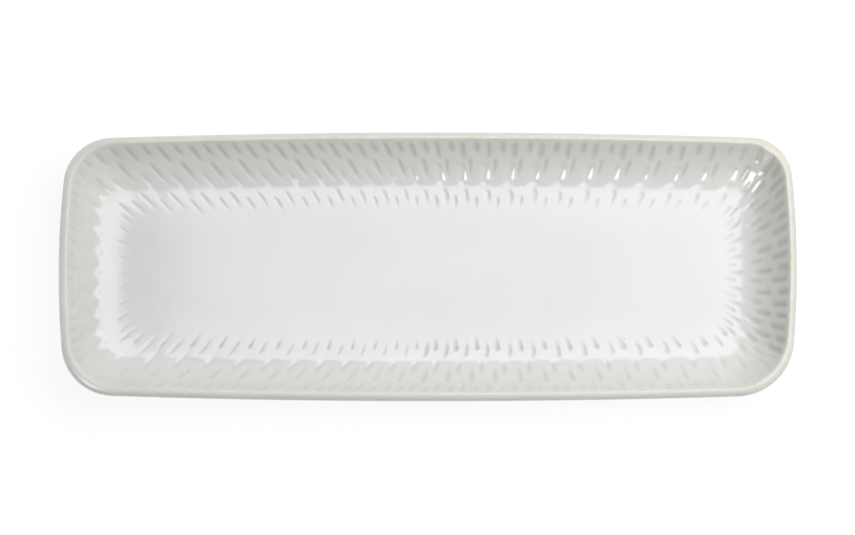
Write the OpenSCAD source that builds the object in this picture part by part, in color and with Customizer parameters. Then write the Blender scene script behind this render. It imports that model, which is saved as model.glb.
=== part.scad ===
// Rectangular stoneware appetizer platter with bowed sides, a curved wall and a dry foot ring.
// Millimetres, +Z up. The origin is on the table, under the middle of the platter.
// Every surface is one section of [inset, height] stations carried round the bowed outline.
// An inset is the plan distance in from the overall outline.

/* [Platter] */
// Overall length
length = 355; // [320:1:400]
// Overall width
width = 131; // [120:1:160]
// Height of the rim crest above the table
height = 29; // [27:0.5:34]
// How far a long side bows out between its corners
long_bow = 3.4; // [2:0.1:6]
// How far a short side bows out between its corners
short_bow = 4.8; // [2:0.1:8]
// Corner radius of the overall outline
corner_r = 24.5; // [20:0.5:30]

/* [Rim and wall] */
// Plan distance from the outline in to the rim crest
crest_in = 2.9; // [2.4:0.1:3.4]
// Drop from the crest to where the outside wall starts
rim_drop = 3.4; // [2.5:0.1:5]
// Lean of the inside wall under the rim, in degrees from upright
wall_lean = 23; // [16:0.5:26]
// Plan distance from the crest to the flat of the floor
wall_run = 26; // [23:0.5:28]
// Height of the serving floor above the table
floor_z = 6; // [5.5:0.25:8]

/* [Foot] */
// Plan distance from the outline in to the foot ring
foot_in = 18; // [16:0.5:20]
// Width of the flat that the platter stands on
foot_w = 5; // [3:0.5:7]
// Depth of the panel inside the foot ring
foot_depth = 2; // [1.5:0.25:2.5]

/* [Glaze] */
// Thickness of the face and back coats
glaze_t = 0.5; // [0.3:0.1:0.7]
// Thickness of the coat on the panel under the platter
base_glaze_t = 0.4; // [0.3:0.1:0.6]

/* [Hidden] */

// Steps along each quarter of the outline, and along the section
short_steps = 3;
corner_steps = 10;
long_steps = 5;
rim_steps = 4;
wall_steps = 10;
round_steps = 3;

// Corner radius lost for each millimetre of inset
corner_taper = 0.43;
// Side arcs, each through the middle of its side and both virtual corners
long_r = (pow(length / 2, 2) + pow(long_bow, 2)) / (2 * long_bow);
short_r = (pow(width / 2, 2) + pow(short_bow, 2)) / (2 * short_bow);
long_c = [0, width / 2 - long_r];
short_c = [length / 2 - short_r, 0];

// Inside of the rim: width and drop of its rounding, and the reach of its curve handles
lip_w = 1.6;
lip_drop = 2.4;
lip_flat = 0.9;
lip_handle = 1;
// Handles of the inside wall curve, at the lip and on the floor
wall_handle = 16;
floor_handle = 13;
// Handles of the outside wall curve, down from the rim and out from the foot
outside_handle = 11.5;
under_handle = [8, -1.8];
// Foot ring: glaze line height, slant of its sides and rounding of its edges
glaze_line_z = 2.4;
foot_slant = 0.6;
foot_round = 0.8;
foot_flat_in = foot_in + foot_slant + foot_round;
foot_flat_end = foot_flat_in + foot_w;
panel_in = foot_flat_end + foot_round + foot_slant;
// The floor ring, this far inside the wall curve, from which the flat floor is closed to its middle
floor_margin = 5;
floor_ring_in = crest_in + wall_run + floor_margin;

// Point on a cubic curve with two handles
function curve(p0, p1, p2, p3, t) =
    pow(1 - t, 3) * p0 + 3 * t * pow(1 - t, 2) * p1 + 3 * t * t * (1 - t) * p2 + pow(t, 3) * p3;

function backwards(list) = [for (k = [len(list) - 1:-1:0]) list[k]];

// One quarter of the outline at an inset, from the middle of the short side to the long side
function quarter(inset) =
    let (
        rl = long_r - inset,
        rs = short_r - inset,
        r = corner_r - corner_taper * inset,
        span = short_c - long_c,
        gap = norm(span),
        along = span / gap,
        a = (pow(rl - r, 2) - pow(rs - r, 2) + pow(gap, 2)) / (2 * gap),
        h = sqrt(pow(rl - r, 2) - pow(a, 2)),
        c = long_c + a * along + h * [along[1], -along[0]],
        turn_l = atan2(c[0] - long_c[0], c[1] - long_c[1]),
        turn_s = atan2(c[1] - short_c[1], c[0] - short_c[0]),
        sweep = 90 - turn_l - turn_s
    )
    concat(
        [for (k = [0:short_steps - 1])
            let (t = turn_s * k / short_steps) short_c + rs * [cos(t), sin(t)]],
        [for (k = [0:corner_steps - 1])
            let (t = turn_s + sweep * k / corner_steps) c + r * [cos(t), sin(t)]],
        [for (k = [0:long_steps])
            let (t = turn_l * (1 - k / long_steps)) long_c + rl * [sin(t), cos(t)]]
    );

// The whole outline at an inset, anticlockwise, from four mirrored quarters
function outline(inset) =
    let (
        q = quarter(inset),
        last = len(q) - 1
    )
    concat(
        [for (k = [0:last - 1]) q[k]],
        [for (k = [last:-1:1]) [-q[k][0], q[k][1]]],
        [for (k = [0:last - 1]) -q[k]],
        [for (k = [last:-1:1]) [q[k][0], -q[k][1]]]
    );

// Section of the inside face, from the crest over the lip and down the wall to the floor
function inside_face() =
    let (
        down = [sin(wall_lean), -cos(wall_lean)],
        crest = [crest_in, height],
        lip = crest + [lip_w, -lip_drop],
        floor_edge = [crest_in + wall_run, floor_z]
    )
    concat(
        [for (k = [0:rim_steps - 1])
            curve(crest, crest + [lip_flat, 0], lip - lip_handle * down, lip, k / rim_steps)],
        [for (k = [0:wall_steps])
            curve(lip, lip + wall_handle * down, floor_edge - [floor_handle, 0], floor_edge,
                k / wall_steps)],
        [[floor_ring_in, floor_z]]
    );

// Section of the outside face, from the glaze line at the foot up the wall and over to the crest
function outside_face() =
    let (
        shoulder = [0, height - rim_drop],
        edge = [foot_in, glaze_line_z]
    )
    concat(
        [for (k = [0:wall_steps - 1])
            curve(edge, edge - under_handle, shoulder - [0, outside_handle], shoulder,
                k / wall_steps)],
        [for (k = [0:rim_steps])
            let (t = 90 * k / rim_steps)
            [crest_in * (1 - cos(t)), height - rim_drop * (1 - sin(t))]]
    );

// Section of the dry foot ring, from the panel under the platter out to the glaze line
function foot_face() =
    concat(
        [[panel_in, foot_depth]],
        [for (k = [0:round_steps])
            let (t = 90 * k / round_steps)
            [foot_flat_end + foot_round * cos(t), foot_round * (1 - sin(t))]],
        [for (k = [0:round_steps])
            let (t = 90 * k / round_steps)
            [foot_flat_in - foot_round * sin(t), foot_round * (1 - cos(t))]]
    );

// A section moved square to itself by a coat's thickness, to the left of its direction
function under_coat(section, coat) =
    [for (k = [0:len(section) - 1])
        let (
            before = section[max(k - 1, 0)],
            after = section[min(k + 1, len(section) - 1)],
            along = (after - before) / norm(after - before)
        )
        section[k] + coat * [-along[1], along[0]]];

// The crest is level and the floor is flat, so those stations move straight down
function inside_clay() =
    let (moved = under_coat(inside_face(), -glaze_t))
    [for (k = [0:len(moved) - 1])
        k == 0 ? [crest_in, height - glaze_t] : moved[k]];

function outside_clay() =
    let (moved = under_coat(outside_face(), -glaze_t))
    [for (k = [0:len(moved) - 1])
        k == len(moved) - 1 ? [crest_in, height - glaze_t] : moved[k]];

// Skin through the outlines at a section's stations, ring by ring
function skin_points(section) =
    [for (s = section) for (p = outline(s[0])) [p[0], p[1], s[1]]];

function skin_faces(rings, n, wrap) =
    [for (k = [0:rings - (wrap ? 1 : 2)]) for (j = [0:n - 1])
        let (
            up = (k + 1) % rings,
            next = (j + 1) % n
        )
        each [[k * n + j, up * n + j, up * n + next], [k * n + j, up * n + next, k * n + next]]];

// Solid from a section whose two ends are closed to the middle
module closed_skin(section, turned = false) {
    n = len(outline(0));
    rings = len(section);
    first = rings * n;
    last = first + 1;
    points = concat(
        skin_points(section),
        [[0, 0, section[0][1]], [0, 0, section[rings - 1][1]]]
    );
    faces = concat(
        skin_faces(rings, n, false),
        [for (j = [0:n - 1]) [first, j, (j + 1) % n]],
        [for (j = [0:n - 1]) [last, (rings - 1) * n + (j + 1) % n, (rings - 1) * n + j]]
    );
    polyhedron(points, turned ? [for (f = faces) backwards(f)] : faces);
}

// Solid from a section that closes on itself, like a hoop
module hoop_skin(section) {
    faces = skin_faces(len(section), len(outline(0)), true);
    polyhedron(skin_points(section), [for (f = faces) backwards(f)]);
}

// Fired stoneware body: floor, wall, rim core and the bare foot ring
module clay_body() {
    color([0.84, 0.79, 0.70])
        closed_skin(concat(
            [[panel_in, foot_depth + base_glaze_t]],
            foot_face(),
            [outside_face()[0]],
            outside_clay(),
            [for (k = [1:len(inside_clay()) - 1]) inside_clay()[k]]
        ));
}

// Face coat: floor, inside wall and lip up to the crest
module inner_glaze() {
    color([0.95, 0.95, 0.93])
        closed_skin(concat(backwards(inside_face()), inside_clay()), turned = true);
}

// Back coat: from the crest over the rim and down the outside wall to the foot
module outer_glaze() {
    color([0.91, 0.90, 0.86])
        hoop_skin(concat(outside_clay(), backwards(outside_face())));
}

// Coat on the panel inside the foot ring
module base_glaze() {
    color([0.92, 0.92, 0.90])
        closed_skin([[panel_in, foot_depth], [panel_in, foot_depth + base_glaze_t]]);
}

clay_body();
inner_glaze();
outer_glaze();
base_glaze();
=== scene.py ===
import math

import bpy
import numpy as np
from mathutils import Matrix, Vector


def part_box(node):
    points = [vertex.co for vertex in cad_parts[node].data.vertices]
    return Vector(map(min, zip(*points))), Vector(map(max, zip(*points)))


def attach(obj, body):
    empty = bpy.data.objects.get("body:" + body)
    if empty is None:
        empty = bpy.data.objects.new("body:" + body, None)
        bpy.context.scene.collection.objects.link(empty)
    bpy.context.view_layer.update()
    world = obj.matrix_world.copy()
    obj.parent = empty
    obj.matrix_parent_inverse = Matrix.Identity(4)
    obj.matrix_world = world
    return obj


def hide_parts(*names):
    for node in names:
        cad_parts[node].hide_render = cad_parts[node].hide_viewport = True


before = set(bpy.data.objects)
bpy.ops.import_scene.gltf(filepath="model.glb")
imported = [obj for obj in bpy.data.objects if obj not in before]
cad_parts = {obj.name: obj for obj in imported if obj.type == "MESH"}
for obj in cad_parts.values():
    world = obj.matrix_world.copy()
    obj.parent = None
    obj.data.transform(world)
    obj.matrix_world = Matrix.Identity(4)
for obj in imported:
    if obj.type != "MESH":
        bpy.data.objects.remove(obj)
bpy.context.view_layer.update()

MM = 0.001

# Sizes that the solids give, in metres
BACK_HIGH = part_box("outer_glaze")[1]
FACE_LOW, FACE_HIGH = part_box("inner_glaze")
PANEL_LOW, PANEL_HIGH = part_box("base_glaze")
HALF_LENGTH = BACK_HIGH.x
HALF_WIDTH = BACK_HIGH.y
CREST_Z = BACK_HIGH.z
CREST_IN = HALF_LENGTH - FACE_HIGH.x
PANEL_IN = HALF_LENGTH - PANEL_HIGH.x
PANEL_Z = PANEL_LOW.z
PANEL_CLAY_Z = PANEL_HIGH.z
GLAZE = 0.5 * MM
FLOOR_Z = FACE_LOW.z + GLAZE

# Outline: side bows, radii of the corners clockwise from the far right one, and what a corner
# loses for each metre of inset
LONG_BOW = 3.4 * MM
SHORT_BOW = 4.8 * MM
CORNER_R = np.array([20.5, 28.0, 25.5, 23.5]) * MM
CORNER_TAPER = 0.43
# Handwork: the far side stands a little to the right of the near one, and the left end is narrower
SKEW = 0.016
SKEW_TRIM = 0.9996
END_TAPER = 0.010

# Section of the inside: rounding of the lip, then the handles of the wall curve
LIP_W = 1.6 * MM
LIP_DROP = 2.4 * MM
LIP_FLAT = 0.9 * MM
LIP_HANDLE = 1.0 * MM
WALL_LEAN = math.radians(23)
WALL_RUN = 26 * MM
WALL_HANDLE = 16 * MM
FLOOR_HANDLE = 13 * MM
# Plan distance from the crest to the ring inside which the floor is plain
FLOOR_RING = 37 * MM

# Section of the outside and of the foot
RIM_DROP = 3.4 * MM
OUTSIDE_HANDLE = 11.5 * MM
UNDER_HANDLE = (8 * MM, -1.8 * MM)
FOOT_IN = 18 * MM
GLAZE_LINE_Z = 2.4 * MM
FOOT_SLANT = 0.6 * MM
FOOT_ROUND = 0.8 * MM
FOOT_FLAT = 5 * MM

# Points of the fine sections: over the rim, down the wall, along the floor and round the foot
RIM_POINTS = 200
WALL_POINTS = 600
FLOOR_POINTS = 100
FOOT_POINTS = 12

# Places round the rim are counted in quarters from the middle of the far side, clockwise.
# This share of a quarter runs along the long side, to the middle of the corner, and the eases
# widen the steps towards the corner or narrow them.
LONG_SHARE = 0.735
LONG_EASE = 0.08
SHORT_EASE = -0.05
# Strokes are counted likewise; these are the counts at the middles of the four sides
SIDE_MIDDLES = (0, 34, 68, 101, 134)
STROKES = SIDE_MIDDLES[-1]


def spread(share, ease):
    """Share of a half side, with steps that change from its middle to its corner by a cubic."""
    return share * (1 + ease * (share**2 - 1))


def outline(inset, place):
    """Plan point of the bowed outline at an inset and a place counted in quarters round the rim.

    Each side is an arc through its middle, all insets share the arcs' centres, and a corner arc
    touches both. A place is a share of the run from a side's middle to a corner's middle, so
    places on different insets make the fanned lines that the strokes follow. The plan is then
    skewed and tapered a little, always inside the even outline.
    """
    long_0 = (HALF_LENGTH**2 + LONG_BOW**2) / (2 * LONG_BOW)
    short_0 = (HALF_WIDTH**2 + SHORT_BOW**2) / (2 * SHORT_BOW)
    long_cy = HALF_WIDTH - long_0
    short_cx = HALF_LENGTH - short_0
    gap = math.hypot(short_cx, long_cy)
    along_x, along_y = short_cx / gap, -long_cy / gap

    long_r = long_0 - inset
    short_r = short_0 - inset
    corner_r = CORNER_R[np.floor(place).astype(int) % 4] - CORNER_TAPER * inset
    reach_l = long_r - corner_r
    reach_s = short_r - corner_r
    step = (reach_l**2 - reach_s**2 + gap**2) / (2 * gap)
    aside = np.sqrt(reach_l**2 - step**2)
    corner_x = step * along_x + aside * along_y
    corner_y = long_cy + step * along_y - aside * along_x
    turn_l = np.arctan2(corner_x, corner_y - long_cy)
    turn_s = np.arctan2(corner_y, corner_x - short_cx)
    half_turn = (math.pi / 2 - turn_l - turn_s) / 2

    fold = np.abs((place + 1) % 2 - 1)
    side_l, side_s = long_r * turn_l, short_r * turn_s
    run_l = spread(fold / LONG_SHARE, LONG_EASE) * (side_l + corner_r * half_turn)
    run_s = spread((1 - fold) / (1 - LONG_SHARE), SHORT_EASE) * (side_s + corner_r * half_turn)
    bend_l = turn_l + (run_l - side_l) / corner_r
    bend_s = turn_s + (run_s - side_s) / corner_r
    on_l, on_s = run_l < side_l, run_s < side_s
    x_l = np.where(on_l, long_r * np.sin(run_l / long_r), corner_x + corner_r * np.sin(bend_l))
    y_l = np.where(on_l, long_cy + long_r * np.cos(run_l / long_r),
                   corner_y + corner_r * np.cos(bend_l))
    x_s = np.where(on_s, short_cx + short_r * np.cos(run_s / short_r),
                   corner_x + corner_r * np.cos(bend_s))
    y_s = np.where(on_s, short_r * np.sin(run_s / short_r), corner_y + corner_r * np.sin(bend_s))
    x = np.where(fold <= LONG_SHARE, x_l, x_s)
    y = np.where(fold <= LONG_SHARE, y_l, y_s)
    turn = place % 4
    x = np.where(turn <= 2, x, -x)
    y = np.where((turn <= 1) | (turn >= 3), y, -y)
    return SKEW_TRIM * (x + SKEW * y), y * (1 - END_TAPER * (1 - x / HALF_LENGTH) / 2)


def curve(points, count):
    """Points along a cubic curve with two handles, at even steps of its parameter."""
    p = np.array(points, float)
    t = np.linspace(0, 1, count)[:, None]
    return (1 - t)**3 * p[0] + 3 * t * (1 - t)**2 * p[1] + 3 * t**2 * (1 - t) * p[2] + t**3 * p[3]


def join(*stretches):
    """One section from stretches that share their end points."""
    return np.vstack([stretches[0]] + [s[1:] for s in stretches[1:]])


def inside_section():
    """Fine [inset, height] line from the crest over the lip, down the wall and onto the floor."""
    down = np.array([math.sin(WALL_LEAN), -math.cos(WALL_LEAN)])
    crest = np.array([CREST_IN, CREST_Z])
    lip = crest + [LIP_W, -LIP_DROP]
    edge = np.array([CREST_IN + WALL_RUN, FLOOR_Z])
    ring = np.array([CREST_IN + FLOOR_RING, FLOOR_Z])
    return join(
        curve([crest, crest + [LIP_FLAT, 0], lip - LIP_HANDLE * down, lip], RIM_POINTS),
        curve([lip, lip + WALL_HANDLE * down, edge - [FLOOR_HANDLE, 0], edge], WALL_POINTS),
        np.linspace(edge, ring, FLOOR_POINTS),
    )


def outside_section():
    """Fine [inset, height] line from the crest over the rim's quarter ellipse to the glaze line."""
    t = np.linspace(0, math.pi / 2, RIM_POINTS)
    rim = np.c_[CREST_IN * (1 - np.sin(t)), CREST_Z - RIM_DROP * (1 - np.cos(t))]
    shoulder = rim[-1]
    edge = np.array([FOOT_IN, GLAZE_LINE_Z])
    wall = curve([shoulder, shoulder - [0, OUTSIDE_HANDLE], edge - UNDER_HANDLE, edge], WALL_POINTS)
    return join(rim, wall)


def foot_section():
    """Fine [inset, height] line of the bare foot, from the glaze line to the panel inside it."""
    t = np.linspace(0, math.pi / 2, FOOT_POINTS)
    near = FOOT_IN + FOOT_SLANT + FOOT_ROUND
    far = near + FOOT_FLAT
    start = np.array([[FOOT_IN, GLAZE_LINE_Z]])
    outer = np.c_[near - FOOT_ROUND * np.cos(t), FOOT_ROUND * (1 - np.sin(t))]
    inner = np.c_[far + FOOT_ROUND * np.sin(t), FOOT_ROUND * (1 - np.cos(t))]
    end = np.array([[PANEL_IN, PANEL_Z]])
    return np.vstack([start, outer, inner, end])


def run_length(section):
    """Length along a section from its first point."""
    return np.r_[0, np.cumsum(np.hypot(*np.diff(section, axis=0).T))]


def stations(section, places):
    """Section points at run lengths, and their unit normals to the left of its direction."""
    length = run_length(section)
    way = np.gradient(section, length, axis=0)
    way /= np.hypot(*way.T)[:, None]
    at = np.c_[np.interp(places, length, section[:, 0]), np.interp(places, length, section[:, 1])]
    side = np.c_[np.interp(places, length, -way[:, 1]), np.interp(places, length, way[:, 0])]
    return at, side / np.hypot(*side.T)[:, None]


# Carving

# Strokes of the two kinds of column, from the rim inwards. In millimetres: start and end in plan
# from the crest, half width and depth. As shares: where along it a stroke is deepest, its stain,
# which is partly glaze pooled in the cut and partly painted shade, how much of its length its ends
# taper over, and how far its deepest line lies to the right.
NO_STROKE = (25.0, 28.0, 1.00, 0.00, 0.40, 0.00, 1.00, 0.00)
SHORT_COLUMN = ((1.1, 6.2, 2.00, 0.36, 0.45, 0.75, 0.65, 0.00),
                (6.6, 19.0, 2.00, 0.34, 0.40, 0.80, 0.75, 0.00),
                (20.8, 29.6, 1.50, 0.22, 0.35, 0.30, 0.80, 0.00), NO_STROKE)
LONG_COLUMN = ((1.1, 9.2, 2.05, 0.40, 0.42, 0.75, 0.65, 0.00),
               (10.4, 21.0, 1.90, 0.26, 0.45, 0.65, 1.00, 0.00),
               (24.0, 31.2, 1.40, 0.20, 0.30, 0.25, 0.80, 0.00), NO_STROKE)
# Right half of the far side: the second strokes are deepest on their left, or are wide scoops that
# are deepest on their right
CUT_COLUMN = (SHORT_COLUMN[0],
              (6.6, 19.0, 2.00, 0.34, 0.40, 0.80, 0.75, -0.40),
              (20.8, 29.6, 1.60, 0.30, 0.35, 0.50, 0.80, 0.00), NO_STROKE)
SCOOP_COLUMN = (LONG_COLUMN[0],
                (8.0, 20.4, 4.40, 0.47, 0.58, 0.35, 0.60, 0.65),
                (24.0, 31.2, 1.50, 0.28, 0.30, 0.45, 0.80, 0.00), NO_STROKE)
# Left half of the near side: fainter, and the inmost strokes of the long columns have a small
# deep head
NEAR_SHORT_COLUMN = ((1.1, 6.2, 1.90, 0.14, 0.45, 0.25, 0.55, 0.00),
                     (6.6, 18.0, 1.80, 0.18, 0.40, 0.40, 0.75, 0.00),
                     (20.8, 29.6, 1.40, 0.18, 0.35, 0.25, 0.80, 0.00), NO_STROKE)
NEAR_LONG_COLUMN = ((1.1, 9.2, 1.90, 0.16, 0.42, 0.25, 0.55, 0.00),
                    (11.5, 20.5, 2.00, 0.24, 0.55, 0.35, 0.80, 0.00),
                    (25.0, 31.2, 1.30, 0.16, 0.28, 0.25, 0.80, 0.00),
                    (24.6, 27.8, 1.30, 0.45, 0.45, 0.80, 1.00, 0.00))
# Right half of the near side: cut deeper on the floor
DEEP_SHORT_COLUMN = (NEAR_SHORT_COLUMN[0],
                     (6.6, 18.0, 1.80, 0.24, 0.40, 0.50, 0.75, 0.00),
                     (20.8, 30.2, 1.60, 0.32, 0.35, 0.55, 0.80, 0.00), NO_STROKE)
DEEP_LONG_COLUMN = (NEAR_LONG_COLUMN[0],
                    (11.5, 20.5, 2.00, 0.34, 0.55, 0.45, 0.80, 0.00),
                    (25.0, 31.6, 1.60, 0.34, 0.28, 0.55, 0.80, 0.00),
                    (24.0, 28.4, 1.70, 0.64, 0.45, 1.00, 1.00, 0.00))
# Right side: painted darker by the rim, as painted shade
RIGHT_SHORT_COLUMN = ((1.1, 6.2, 2.70, 0.44, 0.45, 1.00, 0.50, 0.00),
                      (6.6, 18.0, 2.40, 0.40, 0.40, 1.00, 0.70, 0.00), CUT_COLUMN[2], NO_STROKE)
RIGHT_LONG_COLUMN = ((1.1, 9.2, 2.70, 0.48, 0.42, 1.00, 0.50, 0.00),
                     (10.4, 20.0, 2.30, 0.40, 0.45, 0.90, 0.80, 0.00), SCOOP_COLUMN[2], NO_STROKE)
# Left side: fainter by the rim, then wide scoops, each with a small painted dark spot at its lower
# end, painted shade with next to no cut
LEFT_SHORT_COLUMN = ((1.1, 6.2, 2.00, 0.22, 0.45, 0.60, 0.55, 0.00),
                     (7.6, 14.6, 1.40, 0.10, 0.40, 0.20, 0.75, 0.00), NO_STROKE, NO_STROKE)
LEFT_LONG_COLUMN = ((1.1, 7.0, 2.00, 0.22, 0.42, 0.60, 0.55, 0.00),
                    (5.5, 18.0, 5.20, 0.64, 0.40, 0.00, 1.00, 0.00),
                    (25.0, 31.2, 1.30, 0.12, 0.28, 0.25, 0.80, 0.00),
                    (15.8, 19.4, 1.60, 0.02, 0.50, 0.50, 1.00, 0.00))
# Stretches whose columns differ: the middle stroke, the reach in strokes and the two kinds
STRETCHES = (
    (SIDE_MIDDLES[1] / 2, 17, CUT_COLUMN, SCOOP_COLUMN),
    (SIDE_MIDDLES[1], 11, RIGHT_SHORT_COLUMN, RIGHT_LONG_COLUMN),
    (SIDE_MIDDLES[2] + 13, 13.5, NEAR_SHORT_COLUMN, NEAR_LONG_COLUMN),
    (SIDE_MIDDLES[2] - 13, 13.5, DEEP_SHORT_COLUMN, DEEP_LONG_COLUMN),
    (SIDE_MIDDLES[3], 9, LEFT_SHORT_COLUMN, LEFT_LONG_COLUMN),
)
# How far the wall between the strokes stands up, and the plan stretches where it starts and fades
PAD_RISE = 0.24 * MM
PAD_START = (0.8 * MM, 2.6 * MM)
PAD_END = (15 * MM, 31 * MM)
# Lobes at the foot of the wall, one to two columns: their rise, and where in plan they start, top
# and end. On the left side there are sharp ridges between the scoops instead, further up. The one
# gives way to the other over these strokes from the side's middle.
LOBE_RISE = 0.12 * MM
LOBE_PLAN = (11 * MM, 18 * MM, 26 * MM)
RIDGE_RISE = 0.40 * MM
RIDGE_PLAN = (3 * MM, 13 * MM, 19 * MM)
RIDGE_REACH = (8, 13)
# Hand-cut unevenness: the seed of its draws, how far a column sways, a stroke's own share of that,
# and what its ends, width and depth vary by
SEED = 41
SWAY = 0.28 * MM
OWN_SWAY = 0.5
END_JITTER = 0.5 * MM
WIDTH_JITTER = 0.12
DEPTH_JITTER = 0.2
# Power of a stroke's bowl across it, and the share of its width at its ends
BOWL_POWER = 1.6
END_WIDTH = 0.55
# Drift of the columns on the long sides, in strokes: at the rim to the left and widening to the
# right, and on the floor in a wave that gathers them by the middle. It fades out over these
# strokes from the middle, and turns from the one into the other over this stretch in plan.
RIM_DRIFT = -0.30
RIM_DRIFT_RIGHT = 0.030
RIM_DRIFT_LEFT = 0.010
FLOOR_DRIFT = -0.55
FLOOR_DRIFT_STROKES = 15
DRIFT_FADE = (22, 30)
DRIFT_PLAN = (2 * MM, 22 * MM)
# How far a stroke on a long side leans to the right for each metre inwards, beside the drift
LEAN = 0.20


def ease_step(low, high, value):
    """Smooth step from 0 at low to 1 at high by the cubic 3t^2 - 2t^3."""
    t = np.clip((value - low) / (high - low), 0, 1)
    return t * t * (3 - 2 * t)


def hump(rise, start, top, end, value):
    """Rise by a smooth step from start to top, taken back by another from top to end."""
    return rise * ease_step(start, top, value) * (1 - ease_step(top, end, value))


def strokes_from(middle, stroke):
    """How many strokes clockwise of a middle a stroke number lies, by the shorter way round."""
    return (stroke - middle + STROKES / 2) % STROKES - STROKES / 2


def drift(stroke, inset):
    """How far a column strays along a long side, in strokes to the right.

    At the rim it is a straight line of the stroke's number from the side's middle, on the floor
    a sine wave, and between them a straight blend by the inset. It fades out by the corners.
    """
    share = np.clip((inset - CREST_IN - DRIFT_PLAN[0]) / (DRIFT_PLAN[1] - DRIFT_PLAN[0]), 0, 1)
    rim = RIM_DRIFT + np.where(stroke > 0, RIM_DRIFT_RIGHT, RIM_DRIFT_LEFT) * stroke
    floor = FLOOR_DRIFT * np.sin(math.pi * stroke / FLOOR_DRIFT_STROKES)
    fade = 1 - ease_step(*DRIFT_FADE, np.abs(stroke))
    return ((1 - share) * rim + share * floor) * fade


def stroke_place(stroke, inset):
    """Place of a stroke number at an inset: its even share of its quarter, with the drift."""
    far = strokes_from(SIDE_MIDDLES[0], stroke)
    near = SIDE_MIDDLES[2] - stroke
    strayed = stroke + drift(far, inset) - drift(near, inset)
    whole = np.floor(strayed / STROKES)
    return np.interp(strayed - whole * STROKES, SIDE_MIDDLES, np.arange(5)) + 4 * whole


def stroke_table(length, section):
    """Run lengths of each stroke's ends, half width, depth, sway and lean, then its fixed values."""
    draw = np.random.default_rng(SEED)
    number = np.arange(STROKES)
    rows = np.where((number % 2 == 0)[:, None, None], np.array(SHORT_COLUMN), np.array(LONG_COLUMN))
    for middle, reach, short, long in STRETCHES:
        here = np.abs(strokes_from(middle, number)) < reach
        rows[here & (number % 2 == 0)] = short
        rows[here & (number % 2 == 1)] = long
    shape = rows.shape[:2]
    ends = np.interp(CREST_IN + rows[..., :2] * MM, section[:, 0], length)
    ends += draw.uniform(-END_JITTER, END_JITTER, ends.shape)
    half = rows[..., 2] * MM * (1 + draw.uniform(-WIDTH_JITTER, WIDTH_JITTER, shape))
    deep = rows[..., 3] * MM * (1 + draw.uniform(-DEPTH_JITTER, DEPTH_JITTER, shape))
    sway = draw.uniform(-SWAY, SWAY, (STROKES, 1)) + draw.uniform(-SWAY, SWAY, shape) * OWN_SWAY
    far = strokes_from(SIDE_MIDDLES[0], number)
    near = SIDE_MIDDLES[2] - number
    lean = LEAN * (ease_step(*DRIFT_FADE, np.abs(near)) - ease_step(*DRIFT_FADE, np.abs(far)))
    return ends, half, deep, sway, lean, rows[..., 4:]


def carving(stroke, run, pitch, table):
    """Depth of the strokes and their stain, partly painted shade, as two arrays over stroke numbers
    and run lengths.

    Along, a stroke swells by a smooth step from its start to its deepest place and shrinks by
    another to its end, and its width follows. Across, it is a soft bowl, 1 - q^2 to a power,
    where q is the share of the half width, less the bias times its own 1 - q^2. The deepest of
    the three nearest columns counts.
    """
    ends, half, deep, sway, lean, fixed = table
    depth = np.zeros(np.broadcast(stroke, run).shape)
    pool = np.zeros(depth.shape)
    nearest = np.rint(stroke).astype(int)
    for offset in (-1, 0, 1):
        column = (nearest + offset) % STROKES
        aside = (stroke - (nearest + offset)) * pitch
        for row in range(ends.shape[1]):
            start, end = ends[column, row, 0], ends[column, row, 1]
            share = np.clip((run - start) / (end - start), 0, 1)
            top, stain_and_shade, taper, bias = np.moveaxis(fixed[column, row], -1, 0)
            swell = ease_step(0, taper, np.minimum(share / top, (1 - share) / (1 - top)))
            wide = half[column, row] * (END_WIDTH + (1 - END_WIDTH) * np.sqrt(swell))
            off = sway[column, row] + lean[column] * (run - (start + end) / 2)
            q = np.clip((aside - off) / wide, -1, 1)
            bowl = np.clip(1 - (q - bias * (1 - q**2))**2, 0, 1)**BOWL_POWER
            depth = np.maximum(depth, deep[column, row] * swell * bowl)
            # The stain greys the glaze in the cut: partly pooled glaze, partly painted shade in the
            # recess
            pool = np.maximum(pool, stain_and_shade * swell * bowl)
    return depth, pool


# Meshes

# Columns of the carved surface, of the ring round its plain floor, of the clay and of the back coat
FINE = 10 * STROKES
RING = 2 * STROKES
COARSE = 2 * STROKES
BACK_COLUMNS = 4 * STROKES
# Rows over the rim, down the wall and, on the face, onto the floor, then across the floor or panel
FACE_ROWS = (7, 50, 7)
BACK_ROWS = (9, 27)
CLAY_FACE_ROWS = (4, 26)
CLAY_BACK_ROWS = (4, 13)
FLOOR_ROWS = 12
# Plan step from the carved surface to the ring, and strokes to each side for a column's pitch
RING_STEP = 2 * MM
PITCH_STEP = 0.02
# The carving goes no further than this below the plain wall, so that the coat covers the clay
RELIEF_LIMIT = 0.40 * MM
# Plan stretch over which the wall's whiter tone, painted light, fades out, and run length for the
# thin glaze of the rim
WALL_FADE = (3 * MM, 23 * MM)
THIN_FADE = (0.3 * MM, 1.8 * MM)
# Share of the cream that shows on the near and left sides, kept low so that their crests are
# whiter as a painted highlight, how far to both sides of the middle it changes, in half lengths and
# widths, and how much of the rim's cream the wall has
CREAM_UNDER_HIGHLIGHT = 0.25
CREAM_SPREAD = 0.7
WALL_CREAM = 0.35
# Painted shade on stretches of the wall and its foot: the middle stroke, the strokes over which
# it fades along the side, its tone, and the millimetres in plan over which it comes and goes
PAINTED_WALL_SHADE = (
    (SIDE_MIDDLES[0], (22, 30), 0.30, (7, 14), (19, 22)),
    (SIDE_MIDDLES[1], (8, 15), 0.26, (0, 2), (18, 23)),
    (SIDE_MIDDLES[3], (8, 15), 0.34, (0, 2), (12, 22)),
    (SIDE_MIDDLES[2] + 15, (6, 13), 0.16, (16, 20), (24, 30)),
)
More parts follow.
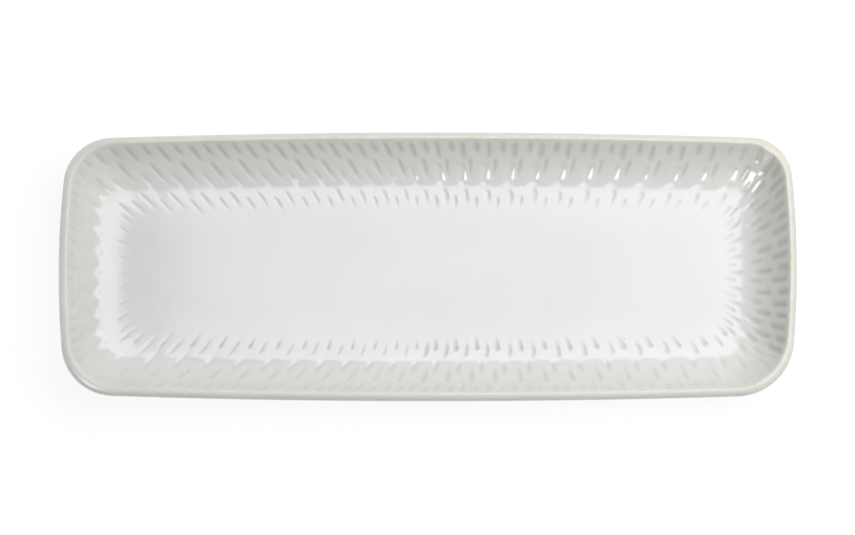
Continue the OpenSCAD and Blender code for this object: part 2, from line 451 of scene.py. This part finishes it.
# Plan stretch over which the mesh columns even out, on the plain floor
EVEN_OUT = (32.5 * MM, 37 * MM)
# Rounded edge of the back coat at the foot: its length, the shares of it that have a row, and how
# much of the coat's thickness it rounds off
BEAD = 0.8 * MM
BEAD_ROWS = (1, 0.8, 0.6, 0.4, 0.2, 0.1, 0)
BEAD_SINK = 0.96
# The panel coat's rounded edge and the plain border inside it
PANEL_EDGE_POINTS = 6
PANEL_BORDER = 3 * MM


def fine_columns():
    """Stroke numbers of the carved mesh's columns, drawn by a cubic towards each stroke's middle."""
    each = FINE // STROKES
    k, u = np.divmod(np.arange(FINE), each)
    u = (u + 0.5) / each - 0.5
    return k + u * (0.75 + u**2)


def even_columns(count):
    """Places of a plain mesh's columns."""
    return np.arange(count) * 4 / count


def grid_faces(rows, count, first=0):
    """Quads of a grid whose columns run clockwise and close round, and whose rows run inwards."""
    r, c = np.meshgrid(np.arange(rows - 1), np.arange(count), indexing="ij")
    n = (c + 1) % count
    quad = [r * count + c, (r + 1) * count + c, (r + 1) * count + n, r * count + n]
    return np.stack(quad, -1).reshape(-1, 4) + first


def bridge_faces(fine_first, fine, coarse_first, coarse):
    """Triangles from a fine outer ring to a coarse inner ring whose count divides it."""
    each = fine // coarse
    f = np.arange(fine)
    after = (f + 1) % fine
    mate = f // each
    fans = np.stack([fine_first + f, coarse_first + mate, fine_first + after], -1)
    last = f[each - 1::each]
    gaps = np.stack([fine_first + after[last], coarse_first + mate[last],
                     coarse_first + mate[after[last]]], -1)
    return np.vstack([fans, gaps])


def strips(count):
    """Indices round a ring of the far and near ends of the strips that cross it."""
    k = np.arange(1, count // 2) - count // 4
    return k % count, (count // 2 - k) % count


def cross_points(ring, rows, height):
    """Inner points of the strips across a ring, evenly between the ends of each strip."""
    far, near = strips(len(ring))
    share = (np.arange(1, rows + 1) / (rows + 1))[:, None, None]
    points = (1 - share) * ring[far] + share * ring[near]
    points[..., 2] = height
    return points.reshape(-1, 3)


def cross_faces(ring, count, inner, rows):
    """Quads of the strips across a ring, and triangles that close both ends on the long axis."""
    far, near = strips(count)
    middle = inner + np.arange(rows * len(far)).reshape(rows, -1)
    lines = np.vstack([ring + far, middle, ring + near])
    quads = np.stack([lines[:-1, :-1], lines[1:, :-1], lines[1:, 1:], lines[:-1, 1:]], -1)
    left = np.full(rows + 1, ring + 3 * count // 4)
    right = np.full(rows + 1, ring + count // 4)
    first = np.stack([left, lines[1:, 0], lines[:-1, 0]], -1)
    last = np.stack([right, lines[:-1, -1], lines[1:, -1]], -1)
    return quads.reshape(-1, 4), np.vstack([first, last])


def carry(at, place):
    """Points of a section's stations carried round the outline, ring after ring."""
    inset = np.broadcast_to(at[:, :1], (len(at), len(place)))
    x, y = outline(inset, np.broadcast_to(place, inset.shape))
    return np.stack([x, y, np.broadcast_to(at[:, 1:], inset.shape)], -1).reshape(-1, 3)


def make_piece(name, points, quads, triangles, level=0, **layers):
    """Smooth mesh object from point, quad and triangle arrays, with float layers on its points.

    The first points, as many as level says, get an upright normal, so that the two coats that
    meet on the crest show no crease there.
    """
    mesh = bpy.data.meshes.new(name)
    mesh.vertices.add(len(points))
    mesh.vertices.foreach_set("co", np.asarray(points, np.float32).ravel())
    corners = np.concatenate([quads.ravel(), triangles.ravel()]).astype(np.int32)
    starts = np.concatenate([4 * np.arange(len(quads)), quads.size + 3 * np.arange(len(triangles))])
    mesh.loops.add(len(corners))
    mesh.loops.foreach_set("vertex_index", corners)
    mesh.polygons.add(len(starts))
    mesh.polygons.foreach_set("loop_start", starts.astype(np.int32))
    mesh.polygons.foreach_set("use_smooth", np.ones(len(starts), bool))
    mesh.update(calc_edges=True)
    for layer, values in layers.items():
        full = np.zeros(len(points), np.float32)
        full[:values.size] = values.ravel()
        mesh.attributes.new(layer, "FLOAT", "POINT").data.foreach_set("value", full)
    if level:
        normals = np.zeros((len(points), 3))
        normals[:level, 2] = 1
        mesh.normals_split_custom_set_from_vertices(normals.tolist())
    piece = bpy.data.objects.new(name, mesh)
    bpy.context.scene.collection.objects.link(piece)
    return piece


def finish_piece(piece, node, material):
    """Puts a piece on the one body, in place of its solid and material."""
    piece.data.materials.append(material)
    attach(piece, "root")
    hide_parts(node)


def run_rows(stops, counts):
    """Run lengths of the mesh rows: so many even steps between each stop and the next."""
    steps = [np.linspace(a, b, n + 1)[:-1] for a, b, n in zip(stops, stops[1:], counts)]
    return np.r_[np.concatenate(steps), stops[-1]]


def cream(x, y):
    """Share of cream: all on the far and right sides, less on the others as a painted highlight."""
    side = ease_step(-CREAM_SPREAD, CREAM_SPREAD, x / HALF_LENGTH + y / HALF_WIDTH)
    return CREAM_UNDER_HIGHLIGHT + (1 - CREAM_UNDER_HIGHLIGHT) * side


def painted_wall_shade(stroke, plan):
    """Tone of the painted shade: three smooth steps multiplied for each stretch; the most counts."""
    total = np.zeros(stroke.shape)
    for middle, reach, tone, come, go in PAINTED_WALL_SHADE:
        away = np.abs(strokes_from(middle, stroke))
        down = ease_step(*come, plan / MM) * (1 - ease_step(*go, plan / MM))
        total = np.maximum(total, tone * down * (1 - ease_step(*reach, away)))
    return total


def build_face():
    """Face coat: the inside section carried round, with the carved relief along its normal.

    The relief is a rise less the depth of the strokes. The rise is an even pad on the whole wall,
    and on it the lobes, by |cos|, or on the left the ridges, by 1 - |sin| of the stroke number.
    """
    section = inside_section()
    length = run_length(section)
    wall_end = length[RIM_POINTS + WALL_POINTS - 2]
    rows = run_rows((0, length[RIM_POINTS - 1], wall_end, length[-1]), FACE_ROWS)
    at, side = stations(section, rows)
    stroke = np.broadcast_to(fine_columns(), (len(rows), FINE))
    run = np.broadcast_to(rows[:, None], stroke.shape)
    inset = np.broadcast_to(at[:, :1], stroke.shape)
    even = ease_step(*EVEN_OUT, inset - CREST_IN)
    place = (1 - even) * stroke_place(stroke, inset) + even * 4 * stroke / STROKES
    x0, y0 = outline(inset, stroke_place(stroke - PITCH_STEP, inset))
    x1, y1 = outline(inset, stroke_place(stroke + PITCH_STEP, inset))
    pitch = np.hypot(x1 - x0, y1 - y0) / (2 * PITCH_STEP)
    depth, pool = carving(stroke, run, pitch, stroke_table(length, section))
    plan = inset - CREST_IN
    rise = PAD_RISE * ease_step(*PAD_START, plan) * (1 - ease_step(*PAD_END, plan))
    lobe = hump(LOBE_RISE, *LOBE_PLAN, plan)
    ridge = hump(RIDGE_RISE, *RIDGE_PLAN, plan)
    elsewhere = ease_step(*RIDGE_REACH, np.abs(strokes_from(SIDE_MIDDLES[3], stroke)))
    rise = rise + elsewhere * lobe * np.abs(np.cos(math.pi * stroke / 2))
    rise = rise + (1 - elsewhere) * ridge * (1 - np.abs(np.sin(math.pi * stroke / 2)))
    relief = np.maximum(rise - depth, -RELIEF_LIMIT)
    x, y = outline(inset + side[:, :1] * relief, place)
    top = np.stack([x, y, at[:, 1:] + side[:, 1:] * relief], -1).reshape(-1, 3)
    ring = carry(at[-1:] + [[RING_STEP, 0]], even_columns(RING))
    middle = cross_points(ring, FLOOR_ROWS, FLOOR_Z)

    low_rows = run_rows((0, length[RIM_POINTS - 1], length[-1]), CLAY_FACE_ROWS)
    low_at, low_side = stations(section, low_rows)
    low = carry(low_at - GLAZE * low_side, even_columns(COARSE))
    low_middle = cross_points(low[-COARSE:], 1, FLOOR_Z - GLAZE)

    under = len(top) + len(ring) + len(middle)
    under_middle = under + len(low)
    floor_quads, floor_ends = cross_faces(len(top), RING, len(top) + RING, FLOOR_ROWS)
    low_quads, low_ends = cross_faces(under_middle - COARSE, COARSE, under_middle, 1)
    quads = np.vstack([grid_faces(len(rows), FINE), floor_quads,
                       grid_faces(len(low_rows), COARSE, under)[:, ::-1], low_quads[:, ::-1]])
    triangles = np.vstack([bridge_faces(len(top) - FINE, FINE, len(top), RING), floor_ends,
                           bridge_faces(0, FINE, under, COARSE)[:, ::-1], low_ends[:, ::-1]])
    # The wall layer paints the upper wall whiter than the floor, as painted light
    wall = 1 - ease_step(*WALL_FADE, plan)
    return make_piece(
        "carved_face_glaze", np.vstack([top, ring, middle, low, low_middle]), quads, triangles, FINE,
        # This layer takes the stroke stains and the painted shade on stretches of the wall
        pool=np.maximum(pool, painted_wall_shade(stroke, plan)),
        wall=wall,
        # Cream of the thin glaze, with less of it on the near and left sides as a painted highlight
        thin=cream(x, y) * np.maximum(WALL_CREAM * wall, 1 - ease_step(*THIN_FADE, run)),
    )


def build_back():
    """Back coat: the outside section carried round, ending in a quarter-round bead at the foot."""
    section = outside_section()
    length = run_length(section)
    rows = run_rows((0, length[RIM_POINTS - 1], length[-1]), BACK_ROWS)
    rows = np.sort(np.r_[rows[:-1], length[-1] - BEAD * np.array(BEAD_ROWS)])
    at, side = stations(section, rows)
    sink = GLAZE * (1 - np.sqrt(1 - np.clip(1 - (length[-1] - rows) / BEAD, 0, 1)**2))
    outer = carry(at + (sink * BEAD_SINK)[:, None] * side, even_columns(BACK_COLUMNS))
    low_rows = run_rows((0, length[RIM_POINTS - 1], length[-1]), CLAY_BACK_ROWS)
    low_at, low_side = stations(section, low_rows)
    inner = carry(low_at + GLAZE * low_side, even_columns(COARSE))
    n = len(outer)
    quads = np.vstack([
        grid_faces(len(rows), BACK_COLUMNS)[:, ::-1],
        grid_faces(len(low_rows), COARSE, n),
    ])
    triangles = np.vstack([
        bridge_faces(0, BACK_COLUMNS, n, COARSE),
        bridge_faces(n - BACK_COLUMNS, BACK_COLUMNS, n + len(inner) - COARSE, COARSE)[:, ::-1],
    ])
    run = np.repeat(rows, BACK_COLUMNS)
    return make_piece("back_glaze_coat", np.vstack([outer, inner]), quads, triangles, BACK_COLUMNS,
                      # Cream of the thin glaze, with less of it on the near and left sides as a painted
                      # highlight
                      thin=cream(*outer.T[:2]) * np.maximum(WALL_CREAM, 1 - ease_step(*THIN_FADE, run)))


def build_clay():
    """Body: the clay under the face, over the crest and down the back, then the bare foot and panel."""
    inside, outside = inside_section(), outside_section()
    length = run_length(inside)
    at, side = stations(inside, run_rows((0, length[RIM_POINTS - 1], length[-1]), CLAY_FACE_ROWS))
    face = (at - GLAZE * side)[::-1]
    length = run_length(outside)
    at, side = stations(outside, run_rows((0, length[RIM_POINTS - 1], length[-1]), CLAY_BACK_ROWS))
    back = at + GLAZE * side
    section = np.vstack([face, back[1:], foot_section(), [[PANEL_IN, PANEL_CLAY_Z]]])
    points = carry(section, even_columns(COARSE))
    n = len(points)
    floor = cross_points(points[:COARSE], 1, FLOOR_Z - GLAZE)
    panel = cross_points(points[-COARSE:], 1, PANEL_CLAY_Z)
    floor_quads, floor_ends = cross_faces(0, COARSE, n, 1)
    panel_quads, panel_ends = cross_faces(n - COARSE, COARSE, n + len(floor), 1)
    quads = np.vstack([grid_faces(len(section), COARSE)[:, ::-1], floor_quads, panel_quads[:, ::-1]])
    triangles = np.vstack([floor_ends, panel_ends[:, ::-1]])
    return make_piece("stoneware_body", np.vstack([points, floor, panel]), quads, triangles)


def build_panel():
    """Coat on the panel inside the foot: a flat sheet with a quarter-round edge."""
    t = np.linspace(0, math.pi / 2, PANEL_EDGE_POINTS)
    thick = PANEL_CLAY_Z - PANEL_Z
    edge = np.c_[PANEL_IN + thick * (1 - np.cos(t)), PANEL_CLAY_Z - thick * np.sin(t)]
    edge = np.vstack([edge, [[PANEL_IN + PANEL_BORDER, PANEL_Z]]])
    low = carry(edge, even_columns(COARSE))
    n = len(low)
    middle = cross_points(low[-COARSE:], FLOOR_ROWS, PANEL_Z)
    lid = cross_points(low[:COARSE], 1, PANEL_CLAY_Z)
    face_quads, face_ends = cross_faces(n - COARSE, COARSE, n, FLOOR_ROWS)
    lid_quads, lid_ends = cross_faces(0, COARSE, n + len(middle), 1)
    quads = np.vstack([grid_faces(len(edge), COARSE)[:, ::-1], face_quads[:, ::-1], lid_quads])
    triangles = np.vstack([face_ends[:, ::-1], lid_ends])
    return make_piece("panel_glaze_coat", np.vstack([low, middle, lid]), quads, triangles)


# Materials

def linear(red, green, blue):
    """Linear colour of a display colour given in 0 to 255, by the sRGB curve."""
    c = np.array([red, green, blue]) / 255
    return (*np.where(c > 0.04045, ((c + 0.055) / 1.055)**2.4, c / 12.92).tolist(), 1.0)


WHITE = (1, 1, 1, 1)
# Glaze: on the floor, on the wall as painted light, where it gathers and as painted shade, where
# it thins, and its pinholes
FLOOR_WHITE = linear(242, 243, 244)
WALL_WHITE = linear(250, 250, 246)
POOL_AND_SHADE_GREY = linear(205, 205, 198)
THIN_CREAM = linear(240, 235, 217)
PINHOLE = linear(120, 112, 98)
# Clay: pale and dark clouds, and iron specks
CLAY_PALE = linear(214, 198, 172)
CLAY_DARK = linear(192, 172, 143)
IRON = linear(120, 92, 66)
# Least and most roughness of the face, and of the back and panel, then the clay's roughness and
# the glaze's index of refraction
GLOSSY = (0.07, 0.13)
SATIN = (0.29, 0.35)
CLAY_ROUGH = 0.85
GLAZE_IOR = 1.6

# Patterns, in cycles for each metre: clouds, patches of thin glaze, gloss and peel, then the clay's
CLOUDS = 22
PATCHES = 160
GLOSS = 60
PEEL = 420
CLAY_CLOUDS = 60
CLAY_GRAIN = 2600
# Stretch of the noise values that a pattern is drawn from, a narrower one for the patches, and
# how much of the thin glaze shows where it is least
NOISE_RANGE = (0.3, 0.7)
PATCH_RANGE = (0.35, 0.65)
PATCH_LEAST = 0.35
# Specks: cells for each metre, size in cells and the share of the cells that have one. A speck is
# full this far out, as a share of its size.
PINHOLES = (42, 0.022, 0.06)
IRON_SPECKS = (500, 0.16, 0.12)
SPECK_CORE = 0.4
# Tone of the glaze's clouds, and how much of the colour below each speck, and each stain with
# its painted shade, covers
CLOUD_TONE = 0.965
POOL_AND_SHADE_COVER = 0.75
PINHOLE_COVER = 0.65
IRON_COVER = 0.8
# Height of a bump at full strength, and the strengths
BUMP = 0.2 * MM
PEEL_STRENGTH = 0.12
GRAIN_STRENGTH = 0.5


def empty_tree(owner):
    """Node tree of a material or world, cleared."""
    owner.use_nodes = True
    owner.node_tree.nodes.clear()
    return owner.node_tree


def node(tree, kind, inputs=None, **fields):
    """Adds a node, sets its fields, and sets or links its inputs by name or number."""
    made = tree.nodes.new(kind)
    for field, value in fields.items():
        setattr(made, field, value)
    for key, value in (inputs or {}).items():
        if isinstance(value, bpy.types.NodeSocket):
            tree.links.new(value, made.inputs[key])
        else:
            made.inputs[key].default_value = value
    return made


def blend(tree, factor, first, second):
    """Colour mix of two colours by a factor."""
    return node(tree, "ShaderNodeMix", {0: factor, 6: first, 7: second}, data_type="RGBA").outputs[2]


def scale_range(tree, value, low, high, to_low, to_high):
    """Value carried from one range to another and held at its ends."""
    inputs = {0: value, 1: low, 2: high, 3: to_low, 4: to_high}
    return node(tree, "ShaderNodeMapRange", inputs).outputs[0]


def times(tree, first, second):
    """Product of two values."""
    return node(tree, "ShaderNodeMath", {0: first, 1: second}, operation="MULTIPLY").outputs[0]


def noise(tree, spot, scale, detail=2.0):
    """Noise value at object coordinates, with the scale in cycles for each metre."""
    inputs = {"Vector": spot, "Scale": scale, "Detail": detail}
    return node(tree, "ShaderNodeTexNoise", inputs).outputs["Fac"]


def specks(tree, spot, scale, size, share):
    """Mask of sparse round specks: the middles of a share of the cells of a Voronoi pattern."""
    cells = node(tree, "ShaderNodeTexVoronoi", {"Vector": spot, "Scale": scale})
    dot = scale_range(tree, cells.outputs["Distance"], size, SPECK_CORE * size, 0, 1)
    split = node(tree, "ShaderNodeSeparateColor", {0: cells.outputs["Color"]}).outputs[0]
    chosen = node(tree, "ShaderNodeMath", {0: split, 1: share}, operation="LESS_THAN").outputs[0]
    return times(tree, dot, chosen)


def layer(tree, name):
    """Value of a float layer on the mesh's points."""
    return node(tree, "ShaderNodeAttribute", attribute_name=name).outputs["Fac"]


def bumps(tree, height, strength):
    """Normal bent by the slope of a height."""
    inputs = {"Height": height, "Strength": strength, "Distance": BUMP}
    return node(tree, "ShaderNodeBump", inputs).outputs[0]


def glaze(name, plain, rough):
    """Glaze: cloudy plain colour, the wall's white as painted light, cream where it thins, less of
    it as a painted highlight on the near and left crests, and grey where it gathers and as painted
    shade.

    Each is blended over the last by its layer on the mesh, the cream in patches. Sparse pinholes,
    an uneven gloss and a faint peel finish it.
    """
    material = bpy.data.materials.new(name)
    tree = empty_tree(material)
    spot = node(tree, "ShaderNodeTexCoord").outputs["Object"]
    cloud = scale_range(tree, noise(tree, spot, CLOUDS, detail=3.0), *NOISE_RANGE, 0, 1)
    dim = tuple(CLOUD_TONE * c for c in plain[:3]) + (1.0,)
    colour = blend(tree, cloud, plain, dim)
    # Painted light: the wall's white makes the upper wall lighter than the floor
    colour = blend(tree, layer(tree, "wall"), colour, WALL_WHITE)
    patchy = scale_range(tree, noise(tree, spot, PATCHES, detail=3.0), *PATCH_RANGE, PATCH_LEAST, 1)
    # Cream where the glaze thins, less of it on the near and left crests as a painted highlight
    colour = blend(tree, times(tree, layer(tree, "thin"), patchy), colour, THIN_CREAM)
    # Grey for the stains, partly pooled glaze and partly painted shade, and for painted wall shade
    colour = blend(tree, times(tree, layer(tree, "pool"), POOL_AND_SHADE_COVER), colour, POOL_AND_SHADE_GREY)
    dots = times(tree, specks(tree, spot, *PINHOLES), PINHOLE_COVER)
    colour = blend(tree, dots, colour, PINHOLE)
    gloss = scale_range(tree, noise(tree, spot, GLOSS), *NOISE_RANGE, *rough)
    peel = bumps(tree, noise(tree, spot, PEEL), PEEL_STRENGTH)
    inputs = {"Base Color": colour, "Roughness": gloss, "IOR": GLAZE_IOR, "Normal": peel}
    surface = node(tree, "ShaderNodeBsdfPrincipled", inputs).outputs[0]
    node(tree, "ShaderNodeOutputMaterial", {"Surface": surface})
    return material


def bare_clay():
    """Dry fired clay: matte cream with cloudy tone, a few iron specks and a fine grain."""
    material = bpy.data.materials.new("bare_clay")
    tree = empty_tree(material)
    spot = node(tree, "ShaderNodeTexCoord").outputs["Object"]
    cloud = scale_range(tree, noise(tree, spot, CLAY_CLOUDS, detail=4.0), *NOISE_RANGE, 0, 1)
    colour = blend(tree, cloud, CLAY_PALE, CLAY_DARK)
    dots = times(tree, specks(tree, spot, *IRON_SPECKS), IRON_COVER)
    colour = blend(tree, dots, colour, IRON)
    grain = bumps(tree, noise(tree, spot, CLAY_GRAIN, detail=4.0), GRAIN_STRENGTH)
    inputs = {"Base Color": colour, "Roughness": CLAY_ROUGH, "Normal": grain}
    surface = node(tree, "ShaderNodeBsdfPrincipled", inputs).outputs[0]
    node(tree, "ShaderNodeOutputMaterial", {"Surface": surface})
    return material


face_glaze = glaze("face_glaze", FLOOR_WHITE, GLOSSY)
back_glaze = glaze("back_glaze", WALL_WHITE, SATIN)
panel_glaze = glaze("panel_glaze", FLOOR_WHITE, SATIN)

finish_piece(build_face(), "inner_glaze", face_glaze)
finish_piece(build_back(), "outer_glaze", back_glaze)
finish_piece(build_clay(), "clay_body", bare_clay())
finish_piece(build_panel(), "base_glaze", panel_glaze)


# Studio

# Light from all round. Then the floor: half its side, the paper that it bounces light like, and
# the shade and glow that it is seen by.
FILL = 0.10
TABLE_HALF = 6
PAPER = (0.8, 0.8, 0.8, 1)
SHADE = (0.2, 0.2, 0.2, 1)
GLOW = 0.88


def seen_directly(tree):
    """1 for camera, glossy and transmission rays, else 0."""
    path = node(tree, "ShaderNodeLightPath").outputs
    inputs = {0: path["Is Camera Ray"], 1: path["Is Glossy Ray"]}
    both = node(tree, "ShaderNodeMath", inputs, operation="ADD").outputs[0]
    inputs = {0: both, 1: path["Is Transmission Ray"]}
    return node(tree, "ShaderNodeMath", inputs, operation="ADD", use_clamp=True).outputs[0]


def lamp(name, spot, aim, size, radiance, lights=True, mirrored=True):
    """Soft rectangular lamp of a given radiance, which may only light, or only be mirrored."""
    light = bpy.data.lights.new(name, "AREA")
    light.shape = "RECTANGLE"
    light.size, light.size_y = size
    light.energy = radiance * math.pi * size[0] * size[1]
    made = bpy.data.objects.new(name, light)
    made.location = spot
    made.rotation_euler = (Vector(aim) - Vector(spot)).to_track_quat("-Z", "Y").to_euler()
    made.visible_camera = False
    made.visible_diffuse = lights
    made.visible_glossy = mirrored
    bpy.context.scene.collection.objects.link(made)


def build_world():
    """World: white for the rays that see it directly, and a soft fill for diffuse light."""
    world = bpy.data.worlds.new("studio")
    tree = empty_tree(world)
    fill = node(tree, "ShaderNodeBackground", {"Color": WHITE, "Strength": FILL}).outputs[0]
    white = node(tree, "ShaderNodeBackground", {"Color": WHITE, "Strength": 1.0}).outputs[0]
    both = node(tree, "ShaderNodeMixShader", {0: seen_directly(tree), 1: fill, 2: white}).outputs[0]
    node(tree, "ShaderNodeOutputWorld", {"Surface": both})
    bpy.context.scene.world = world


def build_table():
    """Pale floor: it bounces light like white paper, and is seen as white with a faint shadow."""
    material = bpy.data.materials.new("paper")
    tree = empty_tree(material)
    paper = node(tree, "ShaderNodeBsdfDiffuse", {"Color": PAPER}).outputs[0]
    shade = node(tree, "ShaderNodeBsdfDiffuse", {"Color": SHADE}).outputs[0]
    glow = node(tree, "ShaderNodeEmission", {"Color": WHITE, "Strength": GLOW}).outputs[0]
    seen = node(tree, "ShaderNodeAddShader", {0: shade, 1: glow}).outputs[0]
    both = node(tree, "ShaderNodeMixShader", {0: seen_directly(tree), 1: paper, 2: seen}).outputs[0]
    node(tree, "ShaderNodeOutputMaterial", {"Surface": both})
    mesh = bpy.data.meshes.new("table")
    r = TABLE_HALF
    mesh.from_pydata([(-r, -r, 0), (r, -r, 0), (r, r, 0), (-r, r, 0)], [], [(0, 1, 2, 3)])
    mesh.materials.append(material)
    table = bpy.data.objects.new("table", mesh)
    bpy.context.scene.collection.objects.link(table)


build_world()
build_table()
# Lamps, each with its place, aim, size and radiance: one overhead that lights the platter and is
# mirrored as its bright bands, three that only light the walls, and one that only makes glints
lamp("overhead", (0.48, 0.23, 1.0), (0.48, 0.23, 0), (1.12, 1.0), 2.8)
lamp("back_fill", (-0.3, 1.1, 0.40), (0, 0, 0), (0.5, 0.3), 3.8, mirrored=False)
lamp("front_fill", (0.35, -1.1, 0.40), (0, 0, 0), (0.5, 0.3), 3.3, mirrored=False)
lamp("left_fill", (-0.5, 0, 0.015), (0, 0, 0.015), (0.5, 0.024), 10.0, mirrored=False)
lamp("front_glint", (-1.93, -2.75, 2.18), (0, 0, 0), (1.5, 3.6), 8.0, lights=False)

# Camera: from a little left of and in front of straight above, far off, with the length level.
# The frame's width is measured at the aim, which is moved in the picture from a point on the axis.
CAMERA_SIDE = Vector((-0.077, -0.167, 1)).normalized()
CAMERA_FAR = 4.0
SENSOR = 36.0
FRAME_WIDTH = 0.4109
AIM_HEIGHT = 15 * MM
AIM_RIGHT = 0.1 * MM
AIM_UP = 1.2 * MM
right = Vector((1, 0, 0)) - CAMERA_SIDE * CAMERA_SIDE.x
right.normalize()
up = CAMERA_SIDE.cross(right)
aim = Vector((0, 0, AIM_HEIGHT)) + AIM_RIGHT * right + AIM_UP * up
camera_data = bpy.data.cameras.new("camera")
camera_data.sensor_width = SENSOR
camera_data.lens = SENSOR * CAMERA_FAR / FRAME_WIDTH
camera = bpy.data.objects.new("camera", camera_data)
turn = Matrix((right, up, CAMERA_SIDE)).transposed()
camera.matrix_world = Matrix.Translation(aim + CAMERA_FAR * CAMERA_SIDE) @ turn.to_4x4()
bpy.context.scene.collection.objects.link(camera)
bpy.context.scene.camera = camera
bpy.context.scene.view_settings.view_transform = "Standard"
